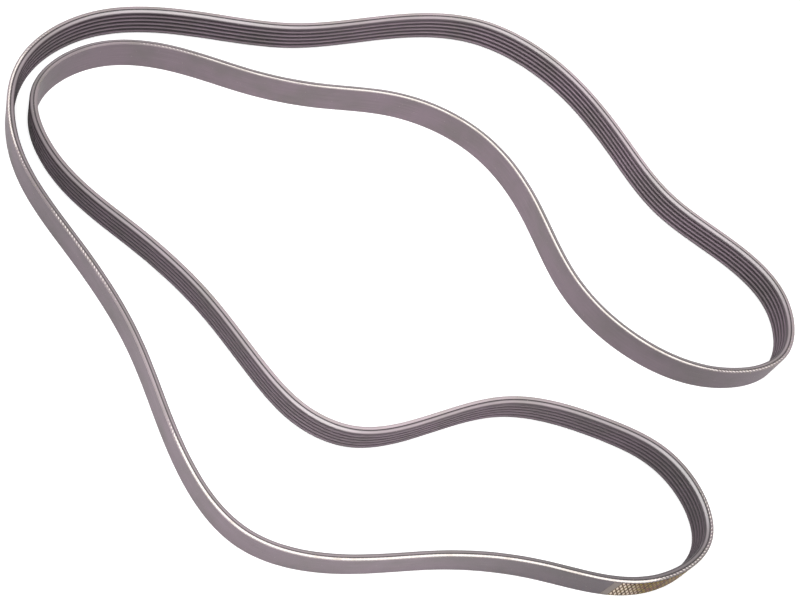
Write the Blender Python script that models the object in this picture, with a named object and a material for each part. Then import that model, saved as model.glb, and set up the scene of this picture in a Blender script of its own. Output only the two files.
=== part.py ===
"""Serpentine belt with six lengthwise ribs, standing on one cut edge in a folded loop.

The belt is one moulded and cut ring of rubber. Its section is drawn once, as offsets from the
tension cords, and is carried along a closed route on the floor. The ribs face the inside of the
loop and the smooth back faces the outside. Units in the constants are millimetres.
"""

import math

import bpy
import numpy as np

MM = 0.001

# Section, across the belt
RIB_COUNT = 6
RIB_PITCH = 3.56
RIB_HEIGHT = 2.3
GROOVE_ANGLE = math.radians(40)
GROOVE_FLOOR = 0.64
CORD_TO_BACK = 1.3
CORD_TO_GROOVE = 0.9
BELT_WIDTH = RIB_COUNT * RIB_PITCH

# Route, along the tension cords: a smooth closed curve through these floor points
FAR_ARM_OUTSIDE = ((-21, 186), (36, 186), (92, 160), (132, 138), (181, 129))
FAR_ARM_BEND = ((224, 110), (236, 76), (211, 45))
FAR_ARM_INSIDE = ((158, 32), (103, 48), (57, 86), (15, 107), (-43, 102), (-83, 81), (-125, 64))
INNER_BEND = ((-169, 52), (-209, 25), (-220, -16), (-187, -50))
NEAR_ARM_INSIDE = ((-129, -65), (-74, -80), (-24, -103), (1, -111), (31, -108), (57, -88))
NEAR_ARM_RISE = ((99, -45), (157, -26))
NEAR_ARM_BEND = ((199, -27), (233, -61), (214, -99))
NEAR_ARM_OUTSIDE = ((155, -124), (105, -147), (58, -177), (7, -190), (-42, -168), (-96, -123))
OUTER_BEND = ((-153, -90), (-209, -57), (-237, -6), (-222, 44), (-173, 82))
FAR_ARM_RISE = ((-120, 110), (-71, 154))
ROUTE = (
    FAR_ARM_OUTSIDE + FAR_ARM_BEND + FAR_ARM_INSIDE + INNER_BEND + NEAR_ARM_INSIDE + NEAR_ARM_RISE
    + NEAR_ARM_BEND + NEAR_ARM_OUTSIDE + OUTER_BEND + FAR_ARM_RISE
)

# How closely the flat facets follow the route
FACET_SAG = 0.2
LONGEST_FACET = 20
ROUTE_SAMPLES = 60

# Rubber
RUBBER_COLOUR = (0.165, 0.130, 0.155, 1.0)
RUBBER_ROUGHNESS = 0.75
SHARP_EDGE = math.radians(14)


def clear_scene():
    for thing in list(bpy.data.objects):
        bpy.data.objects.remove(thing)


def closed_route(points):
    """Samples of the closed cubic spline through the points, spaced by their straight distances.

    The slopes at the points are those for which the curvature has no jumps.
    """
    points = np.array(points, float)
    count = len(points)
    here = np.arange(count)
    following = (here + 1) % count
    step = points[following] - points
    length = np.hypot(step[:, 0], step[:, 1])
    pull = step / length[:, None]
    length_before = np.roll(length, 1)
    pull_before = np.roll(pull, 1, axis=0)
    system = np.zeros((count, count))
    system[here, here - 1] = length
    system[here, here] = 2 * (length + length_before)
    system[here, following] = length_before
    slope = np.linalg.solve(system, 3 * (length[:, None] * pull_before + length_before[:, None] * pull))

    span = np.repeat(here, ROUTE_SAMPLES)
    t = np.tile(np.arange(ROUTE_SAMPLES) / ROUTE_SAMPLES, count)[:, None]
    reach = length[span][:, None]
    leaving = (2 * t**3 - 3 * t**2 + 1) * points[span] + (t**3 - 2 * t**2 + t) * reach * slope[span]
    arriving = (3 * t**2 - 2 * t**3) * points[following[span]]
    return leaving + arriving + (t**3 - t**2) * reach * slope[following[span]]


def stations(samples):
    """Places along the route for the cross-sections, closer together where the belt bends more."""
    ahead = np.roll(samples, -1, axis=0) - samples
    distance = np.hypot(ahead[:, 0], ahead[:, 1])
    heading = np.arctan2(ahead[:, 1], ahead[:, 0])
    turn = np.roll(heading, -1) - heading
    turn = np.abs((turn + math.pi) % (2 * math.pi) - math.pi)
    curvature = turn / distance
    facets_per_mm = np.maximum(np.sqrt(curvature / (8 * FACET_SAG)), 1 / LONGEST_FACET)
    facets = np.concatenate([[0], np.cumsum(facets_per_mm * distance)])
    count = math.ceil(facets[-1])
    wanted = np.arange(count) * facets[-1] / count
    closed = np.vstack([samples, samples[:1]])
    return np.column_stack([np.interp(wanted, facets, closed[:, axis]) for axis in (0, 1)])


def belt_section():
    """Corners of the section as (outwards from the cords, height above the floor), anticlockwise."""
    flank = RIB_HEIGHT * math.tan(GROOVE_ANGLE / 2)
    half_floor = GROOVE_FLOOR / 2
    groove = -CORD_TO_GROOVE
    tip = groove - RIB_HEIGHT
    corners = [(groove, 0), (CORD_TO_BACK, 0), (CORD_TO_BACK, BELT_WIDTH), (groove, BELT_WIDTH)]
    for rib in reversed(range(RIB_COUNT)):
        low = rib * RIB_PITCH
        high = low + RIB_PITCH
        corners.append((groove, high - half_floor))
        corners.append((tip, high - half_floor - flank))
        corners.append((tip, low + half_floor + flank))
        corners.append((groove, low + half_floor))
    return np.array(corners)


def belt_mesh():
    """One ring of section corners at each station, joined by quads into a closed band."""
    centres = stations(closed_route(ROUTE))
    ahead = np.roll(centres, -1, axis=0) - np.roll(centres, 1, axis=0)
    ahead /= np.hypot(ahead[:, 0], ahead[:, 1])[:, None]
    outwards = np.column_stack([-ahead[:, 1], ahead[:, 0]])
    section = belt_section()

    rings = np.zeros((len(centres), len(section), 3))
    rings[:, :, :2] = centres[:, None] + outwards[:, None] * section[None, :, :1]
    rings[:, :, 2] = section[:, 1]
    corners = rings.reshape(-1, 3)
    middle = (corners.min(axis=0) + corners.max(axis=0)) / 2
    corners[:, :2] -= middle[:2]

    station = np.arange(len(centres))[:, None]
    corner = np.arange(len(section))[None]
    next_station = (station + 1) % len(centres)
    next_corner = (corner + 1) % len(section)
    quads = np.stack(
        [
            station * len(section) + corner,
            station * len(section) + next_corner,
            next_station * len(section) + next_corner,
            next_station * len(section) + corner,
        ],
        axis=-1,
    )
    mesh = bpy.data.meshes.new("serpentine_belt")
    mesh.from_pydata((corners * MM).tolist(), [], quads.reshape(-1, 4).tolist())
    mesh.shade_smooth()
    mesh.set_sharp_from_angle(angle=SHARP_EDGE)
    return mesh


def rubber():
    material = bpy.data.materials.new("moulded_rubber")
    material.use_nodes = True
    shader = material.node_tree.nodes["Principled BSDF"]
    shader.inputs["Base Color"].default_value = RUBBER_COLOUR
    shader.inputs["Roughness"].default_value = RUBBER_ROUGHNESS
    shader.inputs["Metallic"].default_value = 0.0
    return material


clear_scene()
belt = bpy.data.objects.new("serpentine_belt", belt_mesh())
belt.data.materials.append(rubber())
bpy.context.scene.collection.objects.link(belt)
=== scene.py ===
"""A serpentine belt that stands on one cut edge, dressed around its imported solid.

The belt is one ring of fibre-filled rubber with polyester cords cured into it. Every piece here
follows the same closed route on the floor: the rubber in its fine section, the cord that each cut
edge lays open, the loose fibres that the knife left, and the printed film on the back.
Lengths with names that end in _MM are millimetres, and the meshes are metres.
"""

import math

import bpy
import numpy as np
from mathutils import Matrix, Vector


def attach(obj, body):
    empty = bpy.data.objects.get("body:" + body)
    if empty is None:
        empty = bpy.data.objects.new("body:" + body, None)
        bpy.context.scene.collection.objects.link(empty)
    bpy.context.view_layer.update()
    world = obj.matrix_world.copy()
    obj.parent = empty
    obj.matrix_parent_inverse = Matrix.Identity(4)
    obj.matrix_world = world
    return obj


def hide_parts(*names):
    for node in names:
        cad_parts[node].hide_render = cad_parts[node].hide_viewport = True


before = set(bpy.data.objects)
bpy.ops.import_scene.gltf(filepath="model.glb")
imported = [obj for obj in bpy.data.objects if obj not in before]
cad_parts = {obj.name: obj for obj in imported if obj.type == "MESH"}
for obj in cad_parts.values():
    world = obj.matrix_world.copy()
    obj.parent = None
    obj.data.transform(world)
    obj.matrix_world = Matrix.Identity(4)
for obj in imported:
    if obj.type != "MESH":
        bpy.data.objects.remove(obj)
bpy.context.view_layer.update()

# The rubber ring: one moulding of EPDM rubber filled with short fibres, cured on a drum as a wide
# sleeve. Its six ribs were ground lengthwise, its back was ground smooth, and it was then sliced
# from the sleeve with a knife, so both edges are plain cut faces.
MM = 0.001
RIB_COUNT = 6
RIB_PITCH_MM = 3.56
RIB_HEIGHT_MM = 2.3
GROOVE_ANGLE = math.radians(40)
GROOVE_FLOOR_MM = 0.64
CORD_TO_BACK_MM = 1.3
CORD_TO_GROOVE_MM = 0.9
BELT_WIDTH_MM = RIB_COUNT * RIB_PITCH_MM
TIP_MM = -CORD_TO_GROOVE_MM - RIB_HEIGHT_MM
KNIFE_SINK_MM = 0.03
BACK_CORNER_MM = 0.16
KNIFE_CORNER_MM = 0.06
RIB_TIP_CORNER_MM = 0.5
OUTER_TIP_CORNER_MM = 1.3
GROOVE_CORNER_MM = 0.2
CORNER_STEPS = 3
GRINDING_WANDER_MM = 0.03
KNIFE_WANDER_MM = 0.01
RUBBER_STATIONS = 1100

FAR_ARM_OUTSIDE = ((-21, 186), (36, 186), (92, 160), (132, 138), (181, 129))
FAR_ARM_BEND = ((224, 110), (236, 76), (211, 45))
FAR_ARM_INSIDE = ((158, 32), (103, 48), (57, 86), (15, 107), (-43, 102), (-83, 81), (-125, 64))
INNER_BEND = ((-169, 52), (-209, 25), (-220, -16), (-187, -50))
NEAR_ARM_INSIDE = ((-129, -65), (-74, -80), (-24, -103), (1, -111), (31, -108), (57, -88))
NEAR_ARM_RISE = ((99, -45), (157, -26))
NEAR_ARM_BEND = ((199, -27), (233, -61), (214, -99))
NEAR_ARM_OUTSIDE = ((155, -124), (105, -147), (58, -177), (7, -190), (-42, -168), (-96, -123))
OUTER_BEND = ((-153, -90), (-209, -57), (-237, -6), (-222, 44), (-173, 82))
FAR_ARM_RISE = ((-120, 110), (-71, 154))
ROUTE = (
    FAR_ARM_OUTSIDE + FAR_ARM_BEND + FAR_ARM_INSIDE + INNER_BEND + NEAR_ARM_INSIDE + NEAR_ARM_RISE
    + NEAR_ARM_BEND + NEAR_ARM_OUTSIDE + OUTER_BEND + FAR_ARM_RISE
)
ROUTE_SAMPLES = 60


def closed_route(points):
    """Samples of the closed cubic spline through the points, spaced by their straight distances.

    The slopes at the points are those for which the curvature has no jumps.
    """
    points = np.array(points, float)
    count = len(points)
    here = np.arange(count)
    following = (here + 1) % count
    step = points[following] - points
    length = np.hypot(step[:, 0], step[:, 1])
    pull = step / length[:, None]
    length_before = np.roll(length, 1)
    pull_before = np.roll(pull, 1, axis=0)
    system = np.zeros((count, count))
    system[here, here - 1] = length
    system[here, here] = 2 * (length + length_before)
    system[here, following] = length_before
    slope = np.linalg.solve(system, 3 * (length[:, None] * pull_before + length_before[:, None] * pull))

    span = np.repeat(here, ROUTE_SAMPLES)
    t = np.tile(np.arange(ROUTE_SAMPLES) / ROUTE_SAMPLES, count)[:, None]
    reach = length[span][:, None]
    leaving = (2 * t**3 - 3 * t**2 + 1) * points[span] + (t**3 - 2 * t**2 + t) * reach * slope[span]
    arriving = (3 * t**2 - 2 * t**3) * points[following[span]]
    return leaving + arriving + (t**3 - t**2) * reach * slope[following[span]]


route_samples = closed_route(ROUTE)
route_steps = np.roll(route_samples, -1, axis=0) - route_samples
route_along = np.concatenate([[0], np.cumsum(np.hypot(route_steps[:, 0], route_steps[:, 1]))])
BELT_LENGTH_MM = route_along[-1]
route_closed = np.vstack([route_samples, route_samples[:1]])


def centre_line(along):
    """Point and outward direction at each distance along the belt.

    The point is read from the route's samples. The outward direction is the direction of travel,
    taken over a millimetre, turned a quarter to the left.
    """
    def place(distance):
        wrapped = np.mod(distance, BELT_LENGTH_MM)
        return np.column_stack([np.interp(wrapped, route_along, route_closed[:, axis]) for axis in (0, 1)])

    ahead = place(along + 1.0) - place(along - 1.0)
    ahead /= np.hypot(ahead[:, 0], ahead[:, 1])[:, None]
    return place(along), np.column_stack([-ahead[:, 1], ahead[:, 0]])


def belt_points(along, outward, height):
    """Places in metres for (stations, corners) arrays of outward distance and height in mm.

    Each is the route's point, plus the outward direction times the outward distance, lifted by the
    height. The whole is then moved so that the belt's own box is centred on the origin.
    """
    centre, outwards = centre_line(along)
    flat = centre[:, None] + outwards[:, None] * outward[..., None]
    return np.dstack([flat - belt_middle, np.broadcast_to(height, outward.shape)]) * MM


def wander(along, seed, longest, shortest, waves=9):
    """A smooth closed wave round the belt of about unit size, between two wavelengths in mm.

    It is a sum of sines with whole numbers of turns round the belt and seeded phases.
    """
    draw = np.random.default_rng(seed)
    turns = np.round(np.geomspace(BELT_LENGTH_MM / longest, BELT_LENGTH_MM / shortest, waves))
    phase = draw.uniform(0, 2 * math.pi, waves)
    angle = along[:, None] * turns * 2 * math.pi / BELT_LENGTH_MM + phase
    return np.sin(angle).sum(axis=1) / math.sqrt(waves)


def rounded_outline(corners, radii, steps):
    """Points and outward normals of a closed anticlockwise outline whose corners are arcs.

    Each arc touches both straight sides: its centre lies on the corner's bisector, at the radius
    over the sine of half the angle, and its directions turn evenly from one side's to the other's.
    """
    before = np.roll(corners, 1, axis=0) - corners
    after = np.roll(corners, -1, axis=0) - corners
    before /= np.hypot(before[:, 0], before[:, 1])[:, None]
    after /= np.hypot(after[:, 0], after[:, 1])[:, None]
    half = np.arccos((before * after).sum(axis=1)) / 2
    bisector = before + after
    bisector /= np.hypot(bisector[:, 0], bisector[:, 1])[:, None]
    centre = corners + bisector * (radii / np.sin(half))[:, None]
    first = corners + before * (radii / np.tan(half))[:, None] - centre
    last = corners + after * (radii / np.tan(half))[:, None] - centre
    turn = (math.pi - 2 * half)[:, None, None]
    share = np.linspace(0, 1, steps)[None, :, None]
    arc = (np.sin((1 - share) * turn) * first[:, None] + np.sin(share * turn) * last[:, None]) / np.sin(turn)
    hollow = before[:, 0] * after[:, 1] - before[:, 1] * after[:, 0] > 0
    normal = arc / radii[:, None, None] * np.where(hollow, -1, 1)[:, None, None]
    return (centre[:, None] + arc).reshape(-1, 2), normal.reshape(-1, 2)


def rubber_section():
    """Corners of the section as (outwards from the cords, height), anticlockwise, with their radii."""
    flank = RIB_HEIGHT_MM * math.tan(GROOVE_ANGLE / 2)
    half_floor = GROOVE_FLOOR_MM / 2
    low_edge, high_edge = KNIFE_SINK_MM, BELT_WIDTH_MM - KNIFE_SINK_MM
    corners = [
        (-CORD_TO_GROOVE_MM, low_edge, KNIFE_CORNER_MM),
        (CORD_TO_BACK_MM, low_edge, BACK_CORNER_MM),
        (CORD_TO_BACK_MM, high_edge, BACK_CORNER_MM),
        (-CORD_TO_GROOVE_MM, high_edge, KNIFE_CORNER_MM),
    ]
    for rib in reversed(range(RIB_COUNT)):
        high = (rib + 1) * RIB_PITCH_MM - half_floor
        low = rib * RIB_PITCH_MM + half_floor
        high_corner = OUTER_TIP_CORNER_MM if rib == RIB_COUNT - 1 else RIB_TIP_CORNER_MM
        low_corner = OUTER_TIP_CORNER_MM if rib == 0 else RIB_TIP_CORNER_MM
        corners.append((-CORD_TO_GROOVE_MM, high, GROOVE_CORNER_MM))
        corners.append((TIP_MM, high - flank, high_corner))
        corners.append((TIP_MM, low + flank, low_corner))
        corners.append((-CORD_TO_GROOVE_MM, low, GROOVE_CORNER_MM))
    corners = np.array(corners)
    return rounded_outline(corners[:, :2], corners[:, 2], CORNER_STEPS)


def wrapped_mesh(name, points, along, across, round_belt=True):
    """A mesh of quads over a (stations, corners, 3) grid whose corners close into a ring.

    Its map has the distance along the belt and the distance round the section, in metres. The
    stations either close round the belt or end in two flat caps.
    """
    stations, corners = points.shape[:2]
    station = np.arange(stations if round_belt else stations - 1)[:, None]
    corner = np.arange(corners)[None]
    next_station, next_corner = (station + 1) % stations, (corner + 1) % corners
    quads = np.stack(
        [
            station * corners + corner,
            station * corners + next_corner,
            next_station * corners + next_corner,
            next_station * corners + corner,
        ],
        axis=-1,
    ).reshape(-1, 4)
    faces = quads.tolist()
    along_ends = np.append(along, along[0] + BELT_LENGTH_MM)
    here, ahead = along_ends[station], along_ends[station + 1]
    u = np.stack([here, here, ahead, ahead], -1)
    v = np.stack([across[corner], across[corner + 1], across[corner + 1], across[corner]], -1)
    shape = (len(station), corners, 4)
    run = np.stack([np.broadcast_to(u, shape), np.broadcast_to(v, shape)], -1).reshape(-1, 2)
    if not round_belt:
        faces.append(np.arange(corners)[::-1].tolist())
        faces.append((np.arange(corners) + (stations - 1) * corners).tolist())
        run = np.vstack([run, np.zeros((2 * corners, 2))])
    mesh = bpy.data.meshes.new(name)
    mesh.from_pydata(points.reshape(-1, 3).tolist(), [], faces)
    mesh.uv_layers.new(name="belt_run").data.foreach_set("uv", (run * MM).ravel())
    mesh.shade_smooth()
    return mesh


def mark(mesh, name, values):
    """Stores one number for each point of the mesh, for its material to read."""
    mesh.attributes.new(name, "FLOAT", "POINT").data.foreach_set("value", np.ravel(values).astype(np.float32))


def girth(outline):
    """Distance round a closed outline at each of its points, with the whole way round at the end."""
    step = np.roll(outline, -1, axis=0) - outline
    return np.concatenate([[0], np.cumsum(np.hypot(step[:, 0], step[:, 1]))])


def on_belt(name, mesh):
    """An object of the mesh that rides with the belt."""
    piece = bpy.data.objects.new(name, mesh)
    bpy.context.scene.collection.objects.link(piece)
    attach(piece, "root")
    return piece


def linear(code, alpha=1.0):
    """An sRGB hex colour as the linear values that a shader takes."""
    channels = np.array([int(code[i : i + 2], 16) / 255 for i in (1, 3, 5)])
    lit = np.where(channels <= 0.04045, channels / 12.92, ((channels + 0.055) / 1.055) ** 2.4)
    return (*lit, alpha)


def add(tree, kind, settings=None, **inputs):
    """One node: settings are its own properties, inputs are values or sockets by socket name.

    An underscore in an input's name stands for a space, and a name such as i1 is an index.
    """
    node = tree.nodes.new(kind)
    for key, value in (settings or {}).items():
        setattr(node, key, value)
    for key, value in inputs.items():
        numbered = key[0] == "i" and key[1:].isdigit()
        socket = node.inputs[int(key[1:]) if numbered else key.replace("_", " ")]
        if isinstance(value, bpy.types.NodeSocket):
            tree.links.new(value, socket)
        else:
            socket.default_value = value
    return node


def stops(node, *places):
    """Sets a colour ramp's stops from (position, hex colour) pairs."""
    ramp = node.color_ramp
    while len(ramp.elements) < len(places):
        ramp.elements.new(1.0)
    for element, (position, code) in zip(ramp.elements, places):
        element.position = position
        element.color = linear(code)
    return node


# What gives the eye EPDM rubber: a lilac grey bloom on the ground back, nearly black plum ribs
# with fine lengthwise grinding marks, and a cut face that shows its layers, paler at the back and
# dark with gum beside the cord. The ribs' colours hold painted light: a painted highlight on each
# flank near the rib tip, and painted shade on the tips and deep in the grooves. The outer flanks
# are burnished, so a lamp overhead shines on them, and their colours also hold a painted highlight
# across the middle of the flank, with painted shade at the tip and at the groove corner.
# Some stretches of the belt are lighter or darker than others: one of four tone factors stands at
# each distance along the belt and scales the colour of the back, cut faces, flanks and ribs.
# The layers are pairs of a share of the section's depth, from rib tip to back, and the colour there.
SECTION_DEPTH_MM = CORD_TO_BACK_MM - TIP_MM
BACK_LILAC_GREY = "#998A93"
BACK_LAYERS = ((0.0, BACK_LILAC_GREY), (1.0, BACK_LILAC_GREY))
# Ribs: a painted highlight at shares 0.06 to 0.2, near the tips, and painted shade on the tips and deep in
# the grooves
RIB_PAINTED_LIGHT_LAYERS = (
    (0.0, "#2E262B"), (0.02, "#3C3238"), (0.06, "#8A7E86"), (0.2, "#8A7E86"), (0.32, "#463D43"),
    (0.5, "#241D20"),
)
# Outer flanks: a painted highlight band from shares 0.17 to 0.38, with painted shade at the tip and at the
# groove corner
FLANK_PAINTED_HIGHLIGHT_LAYERS = (
    (0.0, "#40353C"), (0.1, "#544A50"), (0.17, "#7C7276"), (0.28, "#968D90"), (0.38, "#8E8488"),
    (0.46, "#665C60"), (0.5, "#2E262A"),
)
CUT_LAYERS = (
    (0.51, "#2E262A"), (0.585, "#3F3539"), (0.62, "#A0979A"), (0.85, "#A69C9F"), (0.89, "#665B5E"),
    (0.92, "#A8A0A2"), (0.97, "#A8A0A2"), (0.985, "#4A4045"), (1.0, "#4A4045"),
)
BLOOM_TONES = ((0.36, "#FDF5F9"), (0.52, "#F4EFEF"), (0.66, "#E8E8E2"))
FIBRE_FLECK = "#CFC6BC"
LIGHTER_TONE, PLAIN_TONE, DARKER_TONE, DARKEST_TONE = 1.35, 1.0, 0.7, 0.4
TONE_ALONG_BELT = (
    (0, LIGHTER_TONE), (150, LIGHTER_TONE), (350, DARKER_TONE), (500, PLAIN_TONE), (700, PLAIN_TONE),
    (880, DARKER_TONE), (1020, PLAIN_TONE), (1180, LIGHTER_TONE), (1340, DARKER_TONE), (1450, DARKEST_TONE),
    (1560, PLAIN_TONE), (1740, PLAIN_TONE), (1870, DARKER_TONE), (1960, PLAIN_TONE), (2060, PLAIN_TONE),
    (2265, LIGHTER_TONE),
)
MOTTLE_SIZE_MM = 22
GRAIN_SIZE_MM = 0.35
STREAK_WIDTH_MM = 0.25
STREAK_LENGTH_MM = 25
FLECK_SPACING_MM = 3.2
# Painted shade darkens the back within this reach of each cut edge
EDGE_SHADE_MM = 1.2
SKIN_RELIEF_MM = 0.05
BACK_FACING = 0.7
FLANK_FACING = 0.3
OUTER_FLANK_REACH_MM = 1.9
MIXED = {"data_type": "RGBA"}
MULTIPLIED = {"data_type": "RGBA", "blend_type": "MULTIPLY"}


def ground_rubber(name, layers, specular, smooth, rough, edge_shade=0.0, sheen=0.0):
    """Rubber whose colour follows the depth of the section, with mottling, streaks, flecks and grain.

    The edge shade is the share by which its colour is darkened beside the cut edges, a painted shade
    there, and the sheen is the weight of the release agent that was worked in there.
    """
    material = bpy.data.materials.new(name)
    material.use_nodes = True
    tree = material.node_tree
    shader = tree.nodes["Principled BSDF"]
    outward = add(tree, "ShaderNodeAttribute", {"attribute_name": "outward_share"}).outputs["Fac"]
    place = add(tree, "ShaderNodeTexCoord").outputs["Object"]
    run = add(tree, "ShaderNodeUVMap", {"uv_map": "belt_run"}).outputs["UV"]
    zones = stops(add(tree, "ShaderNodeValToRGB", Fac=outward), *layers).outputs["Color"]

    mottle = add(tree, "ShaderNodeTexNoise", Vector=place, Scale=1 / (MOTTLE_SIZE_MM * MM), Detail=3.0)
    bloom = stops(add(tree, "ShaderNodeValToRGB", Fac=mottle.outputs["Fac"]), *BLOOM_TONES).outputs["Color"]
    toned = add(tree, "ShaderNodeMix", MULTIPLIED, i0=1.0, i6=zones, i7=bloom).outputs[2]

    streak_size = (1 / (STREAK_LENGTH_MM * MM), 1 / (STREAK_WIDTH_MM * MM), 1.0)
    streaked = add(tree, "ShaderNodeMapping", Vector=run, Scale=streak_size).outputs["Vector"]
    streak = add(tree, "ShaderNodeTexNoise", Vector=streaked, Scale=1.0, Detail=2.0).outputs["Fac"]
    ground = add(tree, "ShaderNodeMapRange", Value=streak, i1=0.3, i2=0.7, i3=0.86, i4=1.12).outputs["Result"]
    # The colour is scaled by the tone factor listed for each distance along the belt
    tone_factor_in = add(tree, "ShaderNodeAttribute", {"attribute_name": "tone_factor"}).outputs["Fac"]
    tone = add(tree, "ShaderNodeMath", {"operation": "MULTIPLY"}, i0=ground, i1=tone_factor_in).outputs[0]
    brushed = add(tree, "ShaderNodeMix", MULTIPLIED, i0=1.0, i6=toned, i7=tone).outputs[2]
    # Painted shade: the colour darkens towards both cut edges
    if edge_shade:
        inside = add(tree, "ShaderNodeAttribute", {"attribute_name": "mm_from_edge"}).outputs["Fac"]
        edge_darkening = add(
            tree, "ShaderNodeMapRange", Value=inside, i1=0.0, i2=EDGE_SHADE_MM, i3=1 - edge_shade, i4=1.0
        ).outputs["Result"]
        brushed = add(tree, "ShaderNodeMix", MULTIPLIED, i0=1.0, i6=brushed, i7=edge_darkening).outputs[2]

    fleck = add(
        tree, "ShaderNodeTexVoronoi", {"feature": "F1"}, Vector=place, Scale=1 / (FLECK_SPACING_MM * MM)
    ).outputs["Distance"]
    shown = add(tree, "ShaderNodeMapRange", Value=fleck, i1=0.035, i2=0.06, i3=0.7, i4=0.0).outputs["Result"]
    flecked = add(tree, "ShaderNodeMix", MIXED, i0=shown, i6=brushed, i7=linear(FIBRE_FLECK)).outputs[2]
    tree.links.new(flecked, shader.inputs["Base Color"])

    grain = add(
        tree, "ShaderNodeTexNoise", Vector=place, Scale=1 / (GRAIN_SIZE_MM * MM), Detail=4.0
    ).outputs["Fac"]
    relief = add(tree, "ShaderNodeMath", {"operation": "ADD"}, i0=grain, i1=streak).outputs[0]
    bump = add(
        tree, "ShaderNodeBump", Strength=0.35, Distance=SKIN_RELIEF_MM * MM, Height=relief
    ).outputs["Normal"]
    tree.links.new(bump, shader.inputs["Normal"])
    matt = add(
        tree, "ShaderNodeMapRange", Value=grain, i1=0.3, i2=0.7, i3=smooth, i4=rough
    ).outputs["Result"]
    tree.links.new(matt, shader.inputs["Roughness"])
    shader.inputs["Specular IOR Level"].default_value = specular
    if sheen:
        agent = add(
            tree, "ShaderNodeMapRange", Value=outward, i1=0.1, i2=0.24, i3=0.0, i4=sheen
        ).outputs["Result"]
        tree.links.new(agent, shader.inputs["Coat Weight"])
        shader.inputs["Coat Roughness"].default_value = 0.3
    return material


belt_middle = np.zeros(2)
along = np.arange(RUBBER_STATIONS) * BELT_LENGTH_MM / RUBBER_STATIONS
outline, outline_normal = rubber_section()
outward = np.repeat(outline[None, :, 0], RUBBER_STATIONS, axis=0)
height = np.repeat(outline[None, :, 1], RUBBER_STATIONS, axis=0)
points = belt_points(along, outward, height)
belt_middle = (points.min(axis=(0, 1)) + points.max(axis=(0, 1)))[:2] / 2 / MM

# The grinding wheel and the knife wandered a little, so the rib tips and the cut edges do too
up_the_rib = np.clip((-outward - CORD_TO_GROOVE_MM) / RIB_HEIGHT_MM, 0, 1)
grinding = GRINDING_WANDER_MM * wander(along, 3, 90, 14)[:, None] * up_the_rib
into_section = np.where(height > BELT_WIDTH_MM / 2, -1, 1)
knife = KNIFE_WANDER_MM * wander(along, 5, 160, 18)[:, None] * into_section
points = belt_points(along, outward + grinding, height + knife)
mesh = wrapped_mesh("rubber_ring", points, along, girth(outline))
mark(mesh, "outward_share", (outward - TIP_MM) / SECTION_DEPTH_MM)
mark(mesh, "mm_from_edge", np.minimum(height, BELT_WIDTH_MM - height))
tone_factor = np.interp(along, *np.transpose(TONE_ALONG_BELT))
mark(mesh, "tone_factor", np.repeat(tone_factor, len(outline)))
side_middle = (outline + np.roll(outline, -1, axis=0)) / 2
side_faces = outline_normal + np.roll(outline_normal, -1, axis=0)
side_faces /= np.hypot(side_faces[:, 0], side_faces[:, 1])[:, None]
from_edge = np.minimum(side_middle[:, 1], BELT_WIDTH_MM - side_middle[:, 1])
faces_its_edge = np.sign(side_faces[:, 1]) == np.sign(side_middle[:, 1] - BELT_WIDTH_MM / 2)
faces_up_or_down = np.abs(side_faces[:, 1]) > FLANK_FACING
on_outer_flank = faces_its_edge & faces_up_or_down & (from_edge < OUTER_FLANK_REACH_MM)
BACK, CUT, OUTER_FLANK, RIBS = 0, 1, 2, 3
side_zone = np.select(
    [side_faces[:, 0] > BACK_FACING, side_middle[:, 0] > -CORD_TO_GROOVE_MM, on_outer_flank],
    [BACK, CUT, OUTER_FLANK],
    RIBS,
)
mesh.materials.append(ground_rubber("smooth_ground_back_rubber", BACK_LAYERS, 0.5, 0.5, 0.66, edge_shade=0.35))
mesh.materials.append(ground_rubber("knife_cut_rubber", CUT_LAYERS, 0.5, 0.45, 0.6))
# Its colours hold a painted highlight band on the outer flanks; its coat is a real gloss
mesh.materials.append(ground_rubber("burnished_flank_painted_highlight", FLANK_PAINTED_HIGHLIGHT_LAYERS, 0.6, 0.3, 0.4, sheen=0.85))
# Its colours hold a painted highlight near the rib tips and painted shade in the grooves
mesh.materials.append(ground_rubber("ground_rib_rubber_painted_light", RIB_PAINTED_LIGHT_LAYERS, 0.3, 0.5, 0.66))
mesh.polygons.foreach_set("material_index", np.tile(side_zone, RUBBER_STATIONS).astype(np.int32))
_, outwards = centre_line(along)
flat_normal = outwards[:, None] * outline_normal[None, :, :1]
upright = np.broadcast_to(outline_normal[None, :, 1:], (*flat_normal.shape[:2], 1))
mesh.normals_split_custom_set_from_vertices(np.dstack([flat_normal, upright]).reshape(-1, 3).tolist())
rubber_ring = on_belt("rubber_ring", mesh)
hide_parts("serpentine_belt")


# The outermost cord at each cut edge: two twisted strands of polyester, dipped in gum and laid
# as a coil round the belt before curing. The knife slices along the coil, so the cord shows as a
# white line where it is cut open, as dots where only its strands are grazed, and not elsewhere.
CORD_RADIUS_MM = 0.66
CORD_OUTWARD_MM = 0.14
STRANDS = 2
STRAND_SPACING_MM = 2.2
CORD_DEPTH_WANDER_MM = 0.03
CORD_PLACE_WANDER_MM = 0.04
CORD_STATIONS = 9600
CORD_CORNERS = 10
CORD_SIDE_MM = 0.2
KNIFE_REACH = math.radians(12)
POLYESTER = "#F8EFEA"
POLYESTER_STAINED = "#B7A894"
SMUDGE_SIZE_MM = 6
YARN_SIZE_MM = 0.2
YARN_RELIEF_MM = 0.1
FULLY_OPEN, HALF_OPEN, THIN_LINE = (0.05, 0.85), (0.3, 0.2), (0.45, 0.8)
GRAZED, BARELY_GRAZED, BURIED = (0.5, 0.2), (0.56, 0.2), (0.75, 0.2)
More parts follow.
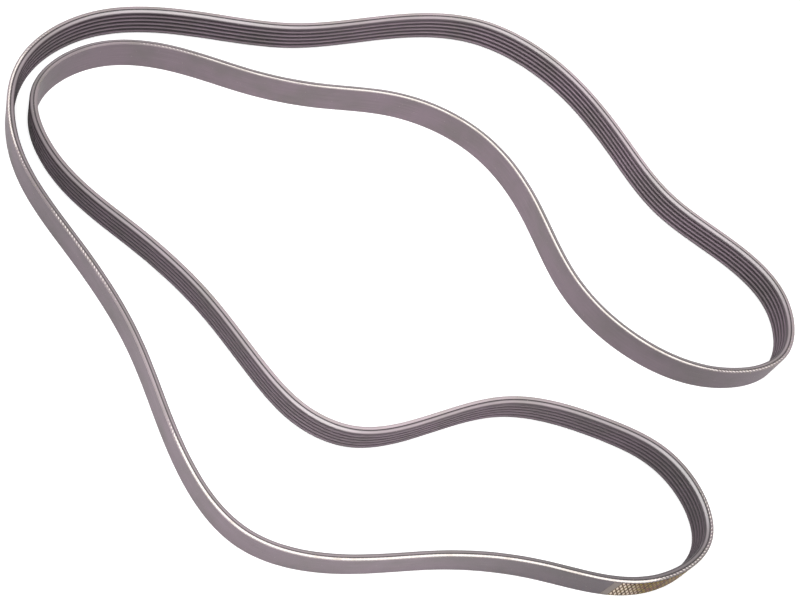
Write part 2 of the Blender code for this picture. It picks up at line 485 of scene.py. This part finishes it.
UPPER_EDGE_CUT = (
    (0, BURIED), (280, BURIED), (320, GRAZED), (360, THIN_LINE), (390, FULLY_OPEN), (650, FULLY_OPEN),
    (680, THIN_LINE), (735, THIN_LINE), (760, GRAZED), (790, BURIED), (1330, BURIED), (1360, BARELY_GRAZED),
    (1412, BARELY_GRAZED), (1424, FULLY_OPEN), (1700, FULLY_OPEN), (1725, BURIED), (1785, BURIED),
    (1810, GRAZED), (1850, GRAZED), (1870, BURIED), (1885, BURIED), (1905, THIN_LINE), (1965, THIN_LINE),
    (2000, BURIED), (2265, BURIED),
)
LOWER_EDGE_CUT = (
    (0, HALF_OPEN), (260, FULLY_OPEN), (420, GRAZED), (520, BURIED), (900, BURIED), (1010, GRAZED),
    (1180, FULLY_OPEN), (1420, HALF_OPEN), (1560, GRAZED), (1700, BURIED), (1960, BURIED), (2060, GRAZED),
    (2265, HALF_OPEN),
)


def strand_radius(angle):
    """Distance from the cord's middle to its skin at an angle, for round strands that touch.

    The strands' middles stand off by the strand's radius over the sine of half a turn's share, and
    the skin is the stand-off times the cosine of the angle from the strand, plus the rest of the
    way to its circle.
    """
    strand = CORD_RADIUS_MM / (1 + 1 / math.sin(math.pi / STRANDS))
    stand_off = CORD_RADIUS_MM - strand
    from_strand = (angle + math.pi / STRANDS) % (2 * math.pi / STRANDS) - math.pi / STRANDS
    reach = np.sqrt(np.maximum(strand**2 - (stand_off * np.sin(from_strand)) ** 2, 0))
    return stand_off * np.cos(from_strand) + reach


def edge_cord(name, cuts, edge, into_belt, seed):
    """The twisted cord at one edge, sliced flat in the knife's plane.

    Each cut is a distance along the belt with the depth in mm of the cord's middle below the edge
    and the share of its radius to which gum and frayed yarn fill the gaps between the strands. The
    skin's distance is read at each corner's angle less the twist so far, and each corner's height
    is that of the middle plus the distance's upright part, held inside the plane of the edge. All
    corners but one are on the side that the knife can reach.
    """
    along = np.arange(CORD_STATIONS) * BELT_LENGTH_MM / CORD_STATIONS
    place = [distance for distance, _ in cuts]
    states = np.transpose([state for _, state in cuts])
    depth, filling = (np.interp(along, place, column) for column in states)
    depth += CORD_DEPTH_WANDER_MM * wander(along, seed, 60, 7)
    turns = round(BELT_LENGTH_MM / STRAND_SPACING_MM / STRANDS)
    twist = along[:, None] * turns * 2 * math.pi / BELT_LENGTH_MM
    reached = np.linspace(KNIFE_REACH, math.pi - KNIFE_REACH, CORD_CORNERS - 1)
    around = np.append(reached, 1.5 * math.pi)[None, ::into_belt]
    skin = np.maximum(strand_radius(around - twist), CORD_RADIUS_MM * filling[:, None])
    middle = CORD_OUTWARD_MM + CORD_PLACE_WANDER_MM * wander(along, seed + 1, 120, 20)[:, None]
    outward = middle + skin * np.cos(around)
    beyond = skin * np.sin(around) - depth[:, None]
    height = edge + into_belt * np.minimum(beyond, 0)
    round_cord = np.arange(CORD_CORNERS + 1) * CORD_SIDE_MM
    mesh = wrapped_mesh(name, belt_points(along, outward, height), along, round_cord)
    mark(mesh, "strand_crest", skin / CORD_RADIUS_MM)
    return mesh


def twisted_polyester():
    """Cut polyester yarn: off-white and matt, stained between the strands and smudged in patches."""
    material = bpy.data.materials.new("cut_polyester_cord")
    material.use_nodes = True
    tree = material.node_tree
    shader = tree.nodes["Principled BSDF"]
    crest = add(tree, "ShaderNodeAttribute", {"attribute_name": "strand_crest"}).outputs["Fac"]
    place = add(tree, "ShaderNodeTexCoord").outputs["Object"]
    colour = stops(
        add(tree, "ShaderNodeValToRGB", Fac=crest),
        (0.3, POLYESTER_STAINED), (0.6, POLYESTER), (1.0, POLYESTER),
    ).outputs["Color"]
    smudge = add(
        tree, "ShaderNodeTexNoise", Vector=place, Scale=1 / (SMUDGE_SIZE_MM * MM), Detail=3.0
    ).outputs["Fac"]
    dirt = add(tree, "ShaderNodeMapRange", Value=smudge, i1=0.5, i2=0.8, i3=0.0, i4=0.5).outputs["Result"]
    soiled = add(tree, "ShaderNodeMix", MIXED, i0=dirt, i6=colour, i7=linear(POLYESTER_STAINED)).outputs[2]
    yarn = add(
        tree, "ShaderNodeTexNoise", Vector=place, Scale=1 / (YARN_SIZE_MM * MM), Detail=2.0
    ).outputs["Fac"]
    shade = add(tree, "ShaderNodeMapRange", Value=yarn, i1=0.35, i2=0.6, i3=0.72, i4=1.0).outputs["Result"]
    frayed = add(tree, "ShaderNodeMix", MULTIPLIED, i0=1.0, i6=soiled, i7=shade).outputs[2]
    tree.links.new(frayed, shader.inputs["Base Color"])
    bump = add(
        tree, "ShaderNodeBump", Strength=0.5, Distance=YARN_RELIEF_MM * MM, Height=yarn
    ).outputs["Normal"]
    tree.links.new(bump, shader.inputs["Normal"])
    shader.inputs["Roughness"].default_value = 0.7
    return material


polyester = twisted_polyester()
upper_cord = on_belt("upper_edge_cord", edge_cord("upper_edge_cord", UPPER_EDGE_CUT, BELT_WIDTH_MM, 1, 11))
upper_cord.data.materials.append(polyester)
lower_cord = on_belt("lower_edge_cord", edge_cord("lower_edge_cord", LOWER_EDGE_CUT, 0.0, -1, 17))
lower_cord.data.materials.append(polyester)


# The printed mark on the back: a thin ink film rolled onto the rubber before curing, with a plain
# grey border and a cross-hatch of beige dashes that turns olive gold between dark lines. The dashes
# show where upright lines cross leaning ones, and turn gold with the distance along the lean.
FILM_START_MM = 1340
FILM_END_MM = 1445.8
FILM_SLANT = 0.05
FILM_THICKNESS_MM = 0.04
FILM_SINK_MM = 0.03
FILM_MARGIN_MM = 0.25
FILM_STATIONS = 120
FILM_ROWS = 12
BORDER_MM = 4.3
DASH_SPACING_MM = 2.44
DASH_LEAN = 0.56
BEIGE_END_MM = 17
GOLD_START_MM = 27
DARK_LINE_SPACING_MM = 10.0
FIRST_DARK_LINE_MM = 11.5
GROUND_PATCH_MM = 6.0
GROUND_TONES = ((0.38, "#5C4136"), (0.64, "#685428"))
INK_TONES = ((0.38, "#85533F"), (0.5, "#8F773E"), (0.62, "#958518"))
BORDER_GREY = "#8C827D"
DASH_BEIGE = "#EBDAC6"
LINE_BROWN = "#33201F"


def film_outline():
    """The film's section as (outwards, height), anticlockwise: up the skin, then down in the rubber."""
    rows = np.linspace(FILM_MARGIN_MM, BELT_WIDTH_MM - FILM_MARGIN_MM, FILM_ROWS)
    skin = np.column_stack([np.full(FILM_ROWS, CORD_TO_BACK_MM + FILM_THICKNESS_MM), rows])
    inside = np.column_stack([np.full(FILM_ROWS, CORD_TO_BACK_MM - FILM_SINK_MM), rows[::-1]])
    return np.vstack([skin, inside])


def slanted_film():
    """The film's mesh, whose end slants: the distance along plus the slant times the height is constant."""
    outline = film_outline()
    share = np.linspace(0, 1, FILM_STATIONS)[:, None]
    end = FILM_END_MM - FILM_SLANT * outline[None, :, 1]
    along = FILM_START_MM + share * (end - FILM_START_MM)
    outward, height = (np.tile(column, FILM_STATIONS)[:, None] for column in outline.T)
    points = belt_points(along.ravel(), outward, height).reshape(*along.shape, 3)
    mesh = wrapped_mesh("printed_film", points, along[:, 0], girth(outline), round_belt=False)
    mark(mesh, "mm_from_end", end - along)
    mark(mesh, "mm_up", height)
    return mesh


def lines(tree, distance, spacing, low, high, first=0.0):
    """Lines a spacing apart: the cosine of the distance's turns, from nothing at low to one at high."""
    turn = 2 * math.pi / spacing
    scaled = {"operation": "MULTIPLY_ADD"}
    angle = add(tree, "ShaderNodeMath", scaled, i0=distance, i1=turn, i2=-first * turn).outputs[0]
    cosine = add(tree, "ShaderNodeMath", {"operation": "COSINE"}, i0=angle).outputs[0]
    return add(tree, "ShaderNodeMapRange", Value=cosine, i1=low, i2=high).outputs["Result"]


def hatched_print():
    """Ink on a thin carrier film: matt, uneven in tone, and worn thin along the dark lines."""
    material = bpy.data.materials.new("printed_ink_film")
    material.use_nodes = True
    tree = material.node_tree
    shader = tree.nodes["Principled BSDF"]
    from_end = add(tree, "ShaderNodeAttribute", {"attribute_name": "mm_from_end"}).outputs["Fac"]
    up = add(tree, "ShaderNodeAttribute", {"attribute_name": "mm_up"}).outputs["Fac"]
    place = add(tree, "ShaderNodeTexCoord").outputs["Object"]

    patches = add(
        tree, "ShaderNodeTexNoise", Vector=place, Scale=1 / (GROUND_PATCH_MM * MM), Detail=2.0
    ).outputs["Fac"]
    ground = stops(add(tree, "ShaderNodeValToRGB", Fac=patches), *GROUND_TONES).outputs["Color"]
    ink = stops(add(tree, "ShaderNodeValToRGB", Fac=patches), *INK_TONES).outputs["Color"]
    leaning = add(
        tree, "ShaderNodeMath", {"operation": "MULTIPLY_ADD"}, i0=up, i1=DASH_LEAN, i2=from_end
    ).outputs[0]
    darkened = add(
        tree, "ShaderNodeMapRange", Value=leaning, i1=BEIGE_END_MM, i2=GOLD_START_MM, i3=0.0, i4=1.0
    ).outputs["Result"]
    dash = add(tree, "ShaderNodeMix", MIXED, i0=darkened, i6=linear(DASH_BEIGE), i7=ink).outputs[2]
    first_upright = BORDER_MM + DASH_SPACING_MM / 2
    upright_lines = lines(tree, from_end, DASH_SPACING_MM, -0.8, 0.1, first=first_upright)
    leaning_lines = lines(tree, leaning, DASH_SPACING_MM, -0.8, 0.1)
    crossing = {"operation": "MULTIPLY"}
    dashes = add(tree, "ShaderNodeMath", crossing, i0=upright_lines, i1=leaning_lines).outputs[0]
    dashed = add(tree, "ShaderNodeMix", MIXED, i0=dashes, i6=ground, i7=dash).outputs[2]
    dark = lines(tree, from_end, DARK_LINE_SPACING_MM, 0.88, 0.97, first=FIRST_DARK_LINE_MM)
    worn = add(tree, "ShaderNodeMapRange", Value=patches, i1=0.35, i2=0.6, i3=1.0, i4=0.5).outputs["Result"]
    shown = add(tree, "ShaderNodeMath", {"operation": "MULTIPLY"}, i0=dark, i1=worn).outputs[0]
    ruled = add(tree, "ShaderNodeMix", MIXED, i0=shown, i6=dashed, i7=linear(LINE_BROWN)).outputs[2]
    border = add(tree, "ShaderNodeMath", {"operation": "LESS_THAN"}, i0=from_end, i1=BORDER_MM).outputs[0]
    printed = add(tree, "ShaderNodeMix", MIXED, i0=border, i6=ruled, i7=linear(BORDER_GREY)).outputs[2]
    tree.links.new(printed, shader.inputs["Base Color"])
    shader.inputs["Roughness"].default_value = 0.5
    shader.inputs["Specular IOR Level"].default_value = 0.05
    return material


printed_film = on_belt("printed_film", slanted_film())
printed_film.data.materials.append(hatched_print())


# The cut fibres: short straw-yellow ends of aramid filling that stand out of the knife-cut edges,
# a fuzz that is thickest in the bends. Those at the lower edge are pressed sideways by the floor.
FIBRE_COUNT = 2000
FIBRE_LENGTHS_MM = (0.3, 1.1)
FIBRE_RADIUS_MM = 0.035
FIBRE_TAPER = 0.7
FIBRE_ROOT_MM = 0.05
FIBRE_RINGS = 4
FIBRE_SIDES = 3
SHARE_AT_UPPER_EDGE = 0.7
LEAN_SPREAD = 0.6
LEAN_FROM_CORD = 0.8
PRESSED_OUTWARD = 1.5
BEND_SPREAD = 0.35
FIBRE_DENSITY = (
    (0, 0.25), (225, 0.3), (250, 1.0), (345, 1.0), (370, 0.2), (1340, 0.2), (1360, 0.8), (1410, 0.8),
    (1430, 0.15), (1870, 0.3), (1900, 1.0), (1995, 1.0), (2090, 0.6), (2230, 0.6), (2265, 0.25),
)
ARAMID = "#D8CE98"


def cut_fibres(seed):
    """Bent three-sided hairs, thinning to their tips, in one mesh.

    A point at share t of a hair lies at its root plus t times the length along its own direction,
    plus t squared times a sideways bend, and its ring of corners shrinks by the taper times t.
    """
    draw = np.random.default_rng(seed)
    along = draw.uniform(0, BELT_LENGTH_MM, 4 * FIBRE_COUNT)
    kept = draw.uniform(0, 1, len(along)) < np.interp(along, *np.transpose(FIBRE_DENSITY))
    along = along[kept][:FIBRE_COUNT]
    count = len(along)
    upper = draw.uniform(0, 1, count) < SHARE_AT_UPPER_EDGE
    outward = draw.uniform(-CORD_TO_GROOVE_MM, CORD_TO_BACK_MM, count)
    root_height = np.where(upper, BELT_WIDTH_MM - FIBRE_ROOT_MM, 2 * FIBRE_RADIUS_MM)
    root = np.column_stack([along, outward, root_height])
    section_middle = (CORD_TO_BACK_MM - CORD_TO_GROOVE_MM) / 2
    from_middle = np.column_stack([np.zeros(count), outward - section_middle])
    lean = draw.normal(0, LEAN_SPREAD, (count, 2)) + LEAN_FROM_CORD * from_middle
    lean[~upper, 1] += PRESSED_OUTWARD
    rise = np.where(upper, draw.uniform(0.3, 1.0, count), 0.0)
    heading = np.column_stack([lean, rise])
    heading /= np.sqrt((heading**2).sum(axis=1))[:, None]
    length = draw.uniform(*FIBRE_LENGTHS_MM, count)
    sideways = draw.normal(0, BEND_SPREAD, (count, 2))
    bend = np.column_stack([sideways, np.zeros(count)]) * length[:, None]
    t = np.linspace(0, 1, FIBRE_RINGS)[None, :, None]
    spine = root[:, None] + t * (length[:, None] * heading)[:, None] + t**2 * bend[:, None]

    across_any_hair = [0.3, 0.5, 0.8]
    side = np.cross(heading, across_any_hair)
    side /= np.sqrt((side**2).sum(axis=1))[:, None]
    other = np.cross(heading, side)
    turn = np.arange(FIBRE_SIDES) * 2 * math.pi / FIBRE_SIDES
    ring = np.cos(turn)[None, :, None] * side[:, None] + np.sin(turn)[None, :, None] * other[:, None]
    radius = FIBRE_RADIUS_MM * (1 - FIBRE_TAPER * t[..., None])
    local = (spine[:, :, None] + radius * ring[:, None]).reshape(-1, 3)
    points = belt_points(local[:, 0], local[:, 1:2], local[:, 2:3]).reshape(-1, 3)

    hair = np.arange(count)[:, None, None] * FIBRE_RINGS * FIBRE_SIDES
    step = np.arange(FIBRE_RINGS - 1)[None, :, None] * FIBRE_SIDES
    corner = np.arange(FIBRE_SIDES)[None, None]
    low = hair + step + corner
    low_next = hair + step + (corner + 1) % FIBRE_SIDES
    walls = np.stack([low, low_next, low_next + FIBRE_SIDES, low + FIBRE_SIDES], -1).reshape(-1, 4)
    base = (hair + np.arange(FIBRE_SIDES)[::-1]).reshape(-1, FIBRE_SIDES)
    tip = (hair + (FIBRE_RINGS - 1) * FIBRE_SIDES + corner).reshape(-1, FIBRE_SIDES)
    mesh = bpy.data.meshes.new("cut_fibres")
    mesh.from_pydata(points.tolist(), [], walls.tolist() + base.tolist() + tip.tolist())
    mesh.shade_smooth()
    return mesh


fibre_material = bpy.data.materials.new("aramid_fibre")
fibre_material.use_nodes = True
fibre_shader = fibre_material.node_tree.nodes["Principled BSDF"]
fibre_shader.inputs["Base Color"].default_value = linear(ARAMID)
fibre_shader.inputs["Roughness"].default_value = 0.5
cut_fibre_fuzz = on_belt("cut_fibres", cut_fibres(29))
cut_fibre_fuzz.data.materials.append(fibre_material)


# The studio: a white sheet under and behind the belt, a soft white surround and two soft lamps,
# one overhead and a weak one beside the camera. The camera is where the photographer stood.
FLOOR_SIZE = 8.0
FLOOR_COLOUR = "#E4E4E4"
LIT_FLOOR_REACH = 0.5
DIM_FLOOR_REACH = 2.0
NEAR_GLOW = 0.5
FAR_GLOW = 1.0
SURROUND_LIGHT = 0.42
CAMERA_PLACE = Vector((0.019306, -0.494345, 0.796843))
LOOK_DOWN = math.radians(58.748)
ROLL = math.radians(29.093)
LENS_MM = 72.26
SENSOR_MM = 36.0


def white_for_the_eye(tree):
    """One where the camera, a reflection or a view through something sees the surface, else zero."""
    path = add(tree, "ShaderNodeLightPath")
    either = add(
        tree, "ShaderNodeMath", {"operation": "MAXIMUM"},
        i0=path.outputs["Is Camera Ray"], i1=path.outputs["Is Glossy Ray"],
    ).outputs[0]
    return add(
        tree, "ShaderNodeMath", {"operation": "MAXIMUM"}, i0=either, i1=path.outputs["Is Transmission Ray"]
    ).outputs[0]


floor_mesh = bpy.data.meshes.new("floor")
half = FLOOR_SIZE / 2
floor_corners = [(-half, -half, 0), (half, -half, 0), (half, half, 0), (-half, half, 0)]
floor_mesh.from_pydata(floor_corners, [], [(0, 1, 2, 3)])
floor = bpy.data.objects.new("floor", floor_mesh)
bpy.context.scene.collection.objects.link(floor)
paper = bpy.data.materials.new("white_paper_sheet")
paper.use_nodes = True
paper_shader = paper.node_tree.nodes["Principled BSDF"]
paper_shader.inputs["Base Color"].default_value = linear(FLOOR_COLOUR)
paper_shader.inputs["Roughness"].default_value = 0.9
paper_shader.inputs["Specular IOR Level"].default_value = 0.0
paper_shader.inputs["Emission Color"].default_value = (1, 1, 1, 1)
# The lamps reach less of the far floor, so it glows more for the eye and stays as white
paper_tree = paper.node_tree
floor_place = add(paper_tree, "ShaderNodeTexCoord").outputs["Object"]
from_belt = add(paper_tree, "ShaderNodeVectorMath", {"operation": "LENGTH"}, i0=floor_place).outputs["Value"]
whitening = add(
    paper_tree, "ShaderNodeMapRange", Value=from_belt,
    i1=LIT_FLOOR_REACH, i2=DIM_FLOOR_REACH, i3=NEAR_GLOW, i4=FAR_GLOW,
).outputs["Result"]
seen_floor = white_for_the_eye(paper_tree)
glow = add(paper_tree, "ShaderNodeMath", {"operation": "MULTIPLY"}, i0=seen_floor, i1=whitening).outputs[0]
paper_tree.links.new(glow, paper_shader.inputs["Emission Strength"])
floor_mesh.materials.append(paper)

world = bpy.data.worlds.new("soft_surround")
world.use_nodes = True
bpy.context.scene.world = world
surround = world.node_tree.nodes["Background"]
surround.inputs["Color"].default_value = (1, 1, 1, 1)
seen = white_for_the_eye(world.node_tree)
level = add(world.node_tree, "ShaderNodeMapRange", Value=seen, i3=SURROUND_LIGHT, i4=1.0)
world.node_tree.links.new(level.outputs["Result"], surround.inputs["Strength"])


def soft_lamp(name, place, aim, size, watts):
    """A square soft lamp at a place, turned to face a point."""
    lamp = bpy.data.lights.new(name, "AREA")
    lamp.size = size
    lamp.energy = watts
    holder = bpy.data.objects.new(name, lamp)
    holder.location = place
    holder.rotation_euler = (Vector(aim) - Vector(place)).to_track_quat("-Z", "Y").to_euler()
    bpy.context.scene.collection.objects.link(holder)
    return holder


soft_lamp("overhead_softbox", place=(0.0, -0.13, 1.25), aim=(0, 0, 0), size=0.8, watts=12)
front_lamp = soft_lamp("front_softbox", place=(0.02, -0.7, 1.0), aim=(0, 0.01, 0), size=0.3, watts=0.8)
front_lamp.data.spread = math.radians(75)

camera_data = bpy.data.cameras.new("camera")
camera_data.lens = LENS_MM
camera_data.sensor_width = SENSOR_MM
camera = bpy.data.objects.new("camera", camera_data)
forward = Vector((0, math.cos(LOOK_DOWN), -math.sin(LOOK_DOWN)))
level_up = Vector((0, math.sin(LOOK_DOWN), math.cos(LOOK_DOWN)))
level_right = Vector((1, 0, 0))
right = math.cos(ROLL) * level_right + math.sin(ROLL) * level_up
up = -math.sin(ROLL) * level_right + math.cos(ROLL) * level_up
camera.matrix_world = Matrix.Translation(CAMERA_PLACE) @ Matrix((right, up, -forward)).transposed().to_4x4()
bpy.context.scene.collection.objects.link(camera)
bpy.context.scene.camera = camera
bpy.context.scene.view_settings.view_transform = "Standard"
